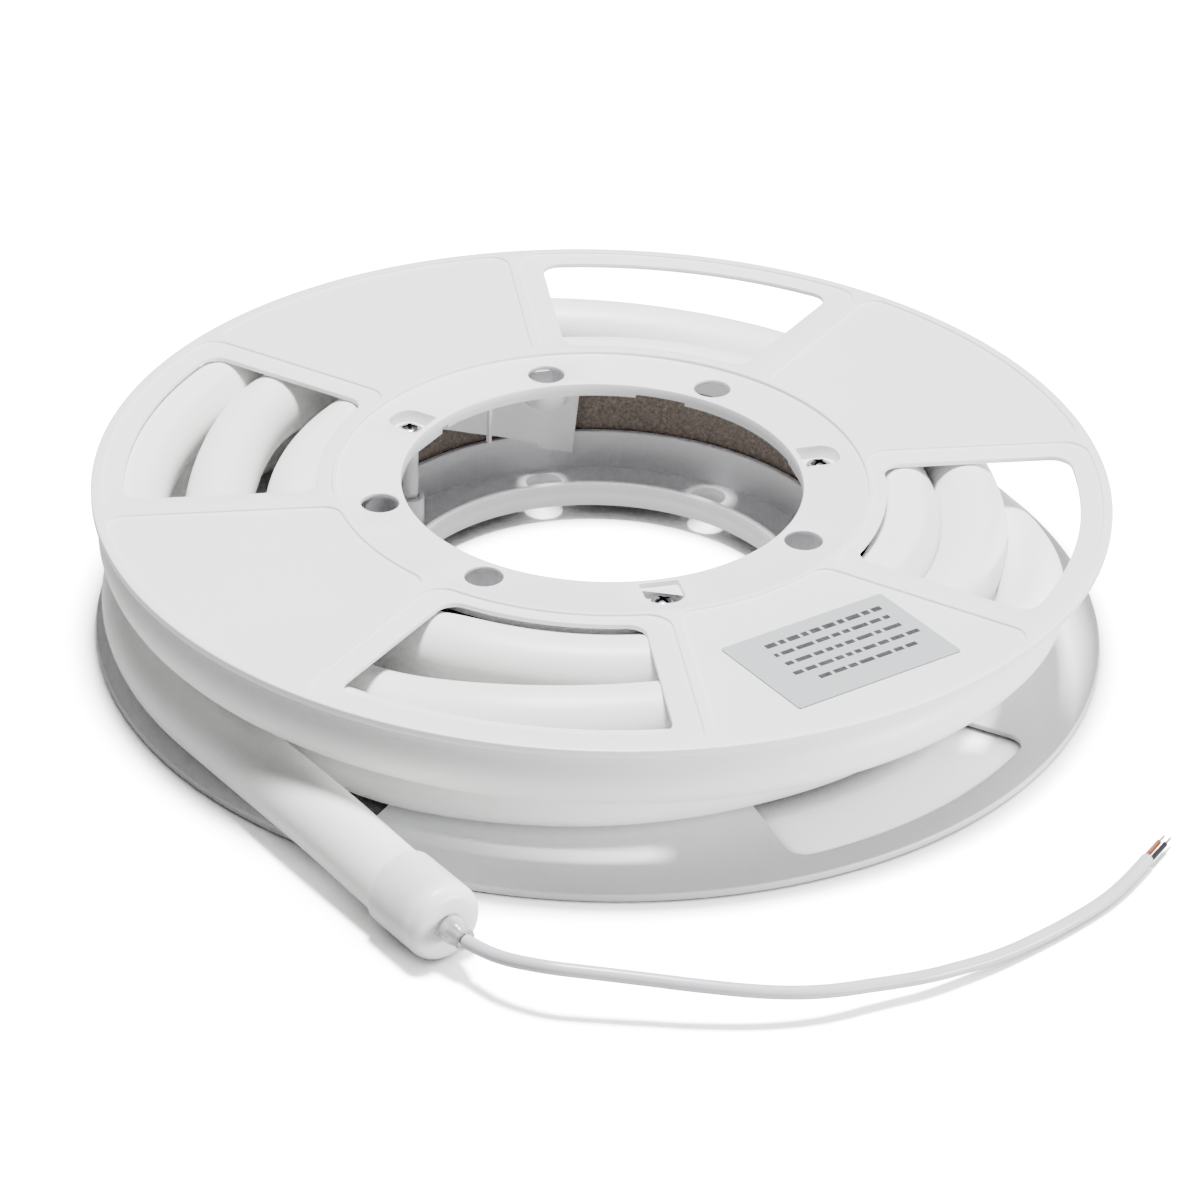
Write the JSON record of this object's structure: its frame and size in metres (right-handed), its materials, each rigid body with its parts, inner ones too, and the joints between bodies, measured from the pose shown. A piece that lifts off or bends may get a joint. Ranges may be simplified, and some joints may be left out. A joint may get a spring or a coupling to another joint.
{
  "type": "led neon flex",
  "caption": "Round white silicone neon flex wound on a flanged plastic reel, with a capped free end and a short two-core lead",
  "frame": {"origin": "middle of the footprint of the reel and the flex's capped free end, at the underside of the lower rim; the lead is left out", "axes": "+Z is the reel's axis, pointing from the lower flange to the labelled upper flange; the upper flange's windows lie on X and Y; the free end and the lead are toward -Y"},
  "size_m": [0.4118, 0.4376, 0.061],
  "materials": {
    "reel_white": "smooth moulded",
    "silicone_white": "smooth satin silicone",
    "cardboard": "raw wound board",
    "frosted_silicone": "frosted translucent",
    "clear_plastic": "clear gloss",
    "plated_steel": "bright zinc",
    "label_silver": "satin film",
    "lead_white": "glossy sheath",
    "core_brown": "glossy insulation",
    "core_black": "glossy insulation"
  },
  "bodies": {
    "root": {"lower_flange": "reel_white", "upper_flange": "reel_white", "core_tube": "cardboard", "neon_flex": "silicone_white", "end_cap": "frosted_silicone", "lead_boot": "clear_plastic", "screw_1": "plated_steel", "screw_2": "plated_steel", "screw_3": "plated_steel", "label": "label_silver", "lead": "lead_white", "core_brown": "core_brown", "core_black": "core_black"}
  },
  "joints": []
}
